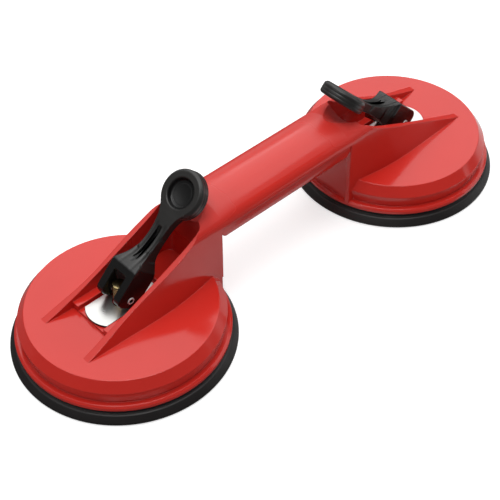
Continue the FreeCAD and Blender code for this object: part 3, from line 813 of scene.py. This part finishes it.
class LIFTER_OT_plates(bpy.types.Operator):
    """Dress the wear plates, seat washers, pad discs, nuts and cover screws"""
    bl_idname = "lifter.plates"
    bl_label = "Plates and Fasteners"

    def execute(self, context):
        radius, zinc = context.scene.lifter_looks.metal_round, finish("bright_zinc")
        dress("cover_screws", "screws", "body", zinc, radius, steps=2)
        for side in SIDES:
            for node, name, body, slot, material in (
                    ("_wear_plate", "_plate", "body", "polished_steel", finish("worn_plate")),
                    ("_seat_washer", "_washer", "body", "plated_steel", zinc),
                    ("_pad_disc", "_disc", side + "_stem", "plated_steel", zinc),
                    ("_stem_nut", "_nut", side + "_stem", "stem_brass", finish("turned_brass"))):
                dress(side + node, side + name, body, material, radius, steps=2)
        return {"FINISHED"}


class LIFTER_OT_pads(bpy.types.Operator):
    """Model the rubber sealing pads with their soft lips"""
    bl_idname = "lifter.pads"
    bl_label = "Rubber Pads"

    def execute(self, context):
        for side in SIDES:
            low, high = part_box(side + "_rubber_pad")
            points, faces = sealing_pad((high.x - low.x) / 2, high.z - low.z)
            piece = add_mesh(side + "_pad", points + np.array([pivot(side).x, 0, low.z]), faces,
                             finish("soft_rubber"))
            close_poles(piece)
            stand_for(piece, "body", side + "_rubber_pad")
        return {"FINISHED"}


class LIFTER_OT_stems(bpy.types.Operator):
    """Cut the thread on the brass draw stems that show in the lever's slot"""
    bl_idname = "lifter.stems"
    bl_label = "Draw Stems"

    def execute(self, context):
        looks = context.scene.lifter_looks
        for side in SIDES:
            low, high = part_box(side + "_draw_stem")
            centre = pivot(side)
            points, faces = threaded_rod((high.y - low.y) / 2, low.z, high.z, looks.thread_pitch,
                                         looks.thread_depth, looks.stem_flat,
                                         centre.z - looks.eye_drop)
            piece = add_mesh(side + "_stem_thread", points + np.array([centre.x, 0, 0]), faces,
                             finish("turned_brass"))
            close_poles(piece)
            stand_for(piece, side + "_stem", side + "_draw_stem")
        return {"FINISHED"}


class LIFTER_OT_springs(bpy.types.Operator):
    """Wind the return springs from round wire"""
    bl_idname = "lifter.springs"
    bl_label = "Return Springs"

    def execute(self, context):
        looks = context.scene.lifter_looks
        for side in SIDES:
            low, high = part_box(side + "_return_spring")
            x, height = pivot(side).x, high.z - low.z
            points, faces = coil((high.y - low.y) / 2 - looks.wire_radius, low.z, high.z,
                                 looks.wire_radius, looks.spring_turns)
            piece = add_mesh(side + "_spring", points + np.array([x, 0, 0]), faces,
                             finish("drawn_wire"))
            stand_for(piece, "body", side + "_return_spring")
            (height - lift(side)) / height
            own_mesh(piece)
        return {"FINISHED"}


# ---------------------------------------------------------------- stage
# Soft boxes: name, azimuth and elevation in degrees, distance and size in metres, and watts.
SOFT_BOXES = (("ceiling", 130.0, 50.0, 1.8, 1.9, 13.2),
              ("canopy", 110.0, 58.0, 2.0, 2.7, 10.8),
              ("key", -120.0, 65.0, 1.6, 1.8, 9.0),
              ("front", -40.0, 82.0, 1.6, 0.9, 11.0),
              ("backdrop", 160.0, 10.0, 2.0, 1.6, 4.0),
              ("fill", 62.0, 20.0, 1.8, 1.0, 3.0))

# Light fields of the floor in reflections: X range, Y range and soft margin, in metres. They lie
# under the grip and right cup, before the right cup, and by the left cup's fin.
FLOOR_FIELDS = (((-0.045, 0.40), (-0.046, 0.03), 0.008),
                ((0.11, 0.40), (-0.30, -0.03), 0.015),
                ((-0.055, -0.010), (-0.11, -0.03), 0.012))


def direction(azimuth, elevation):
    """Unit vector from the object towards an azimuth, counted from the front, and an elevation."""
    level = math.cos(elevation)
    return Vector((math.sin(azimuth) * level, -math.cos(azimuth) * level, math.sin(elevation)))


def set_camera(scene, stage):
    """Camera that looks at the target from an azimuth and elevation, rolled about its axis."""
    back = direction(stage.azimuth, stage.elevation)
    level = (-back).cross(Vector((0, 0, 1))).normalized()
    upright = level.cross(-back)
    across, over = math.cos(stage.roll), math.sin(stage.roll)
    right, up = level * across + upright * over, upright * across - level * over
    data = bpy.data.cameras.new("camera")
    data.lens = stage.lens
    data.sensor_width = 36.0
    data.clip_start = 0.01
    camera = bpy.data.objects.new("camera", data)
    scene.collection.objects.link(camera)
    turned = Matrix((right, up, back)).transposed().to_4x4()
    camera.matrix_world = Matrix.Translation(Vector(stage.target) + back * stage.distance) @ turned
    scene.camera = camera


def set_lights(scene, target):
    """Soft boxes round the target, each turned to face it."""
    for name, azimuth, elevation, distance, size, power in SOFT_BOXES:
        back = direction(math.radians(azimuth), math.radians(elevation))
        data = bpy.data.lights.new(name, "AREA")
        data.shape = "SQUARE"
        data.size = size
        data.energy = power
        lamp = bpy.data.objects.new(name, data)
        lamp.location = target + back * distance
        lamp.rotation_euler = back.to_track_quat("Z", "Y").to_euler()
        scene.collection.objects.link(lamp)


def set_world(scene):
    """White surroundings for the camera, with a plain level of light on the object."""
    world = bpy.data.worlds.new("studio")
    scene.world = world
    world.use_nodes = True
    net = Net(world.node_tree)
    white = opaque(grey(1.0))
    seen = net.wire(net.tree.nodes["Background"], {"Color": white})
    light = net.node("Background", {"Color": white, "Strength": 0.13})
    mix = net.node("MixShader", {"Fac": net.field("LightPath", "Is Camera Ray"),
                                 1: light.outputs["Background"], 2: seen.outputs["Background"]})
    net.wire(net.tree.nodes["World Output"], {"Surface": mix.outputs["Shader"]})


def floor_finish():
    """Pale floor material, which glows a little for the camera and is dark in reflections.

    Its glow grows with the distance from the object, where the soft boxes light it less, and in
    reflections it has a few light fields.
    """
    material = bpy.data.materials.new("studio_floor")
    material.use_nodes = True
    net = Net(material.node_tree)
    path = net.node("LightPath")
    lit = net.wire(net.tree.nodes["Principled BSDF"],
                   {"Base Color": opaque(grey(0.60)), "Roughness": 0.6})
    away = net.field("VectorMath", "Value", {0: net.field("TexCoord", "Object")},
                     operation="LENGTH")
    rise = net.field("MapRange", "Result", {"Value": away, "From Min": 0.45, "From Max": 1.2,
                                            "To Min": 1.0, "To Max": 1.65})
    glow = net.node("Emission", {"Color": opaque(grey(0.62)),
                                 "Strength": rise * path.outputs["Is Camera Ray"]})
    x, y, _ = net.axes()
    near, front, left = [x.within(*wide, soft) * y.within(*deep, soft)
                         for wide, deep, soft in FLOOR_FIELDS]
    sweep = blend_colours(net, near.at_least(front.at_least(left)), opaque(grey(0.15)),
                          opaque(grey(0.75)))
    mirrored = net.node("BsdfDiffuse", {"Color": sweep})
    choice = net.node("MixShader", {"Fac": path.outputs["Is Glossy Ray"],
                                    1: lit.outputs["BSDF"], 2: mirrored.outputs["BSDF"]})
    shown = net.node("AddShader", {0: choice.outputs["Shader"], 1: glow.outputs["Emission"]})
    net.wire(net.tree.nodes["Material Output"], {"Surface": shown.outputs["Shader"]})
    return material


def set_floor(size):
    """Square floor, a little below the pads, that shows white and keeps the object's shadow."""
    half, z = size / 2, -0.2 * MM
    corners = [(-half, -half, z), (half, -half, z), (half, half, z), (-half, half, z)]
    add_mesh("floor", corners, [(0, 1, 2, 3)], floor_finish())


class LIFTER_OT_stage(bpy.types.Operator):
    """Set the camera, the lights, the white surroundings and the floor"""
    bl_idname = "lifter.stage"
    bl_label = "Stage"

    def execute(self, context):
        scene, stage = context.scene, context.scene.lifter_stage
        scene.view_settings.view_transform = "Standard"
        set_camera(scene, stage)
        set_lights(scene, Vector(stage.target))
        set_world(scene)
        set_floor(stage.floor_size)
        return {"FINISHED"}


# ---------------------------------------------------------------- panel and registration
STEPS = ("stage", "body", "levers", "plates", "pads", "stems", "springs")


class LIFTER_PT_panel(bpy.types.Panel):
    """Steps that dress the lifter"""
    bl_label = "Suction Lifter"
    bl_idname = "LIFTER_PT_panel"
    bl_space_type = "VIEW_3D"
    bl_region_type = "UI"
    bl_category = "Lifter"

    def draw(self, context):
        for step in STEPS:
            self.layout.operator("lifter." + step)
        for group in (context.scene.lifter_looks, context.scene.lifter_stage):
            for name in group.__annotations__:
                self.layout.prop(group, name)


CLASSES = (LifterLooks, LifterStage, LIFTER_OT_stage, LIFTER_OT_body, LIFTER_OT_levers,
           LIFTER_OT_plates, LIFTER_OT_pads, LIFTER_OT_stems, LIFTER_OT_springs, LIFTER_PT_panel)


def register():
    """Register the classes and give each scene its properties."""
    for cls in CLASSES:
        bpy.utils.register_class(cls)
    bpy.types.Scene.lifter_looks = bpy.props.PointerProperty(type=LifterLooks)
    bpy.types.Scene.lifter_stage = bpy.props.PointerProperty(type=LifterStage)


def unregister():
    """Take the scene properties and the classes away again."""
    del bpy.types.Scene.lifter_stage
    del bpy.types.Scene.lifter_looks
    for cls in reversed(CLASSES):
        bpy.utils.unregister_class(cls)


def main():
    """Build the whole scene."""
    register()
    for step in STEPS:
        getattr(bpy.ops.lifter, step)()


if __name__ == "__main__":
    main()
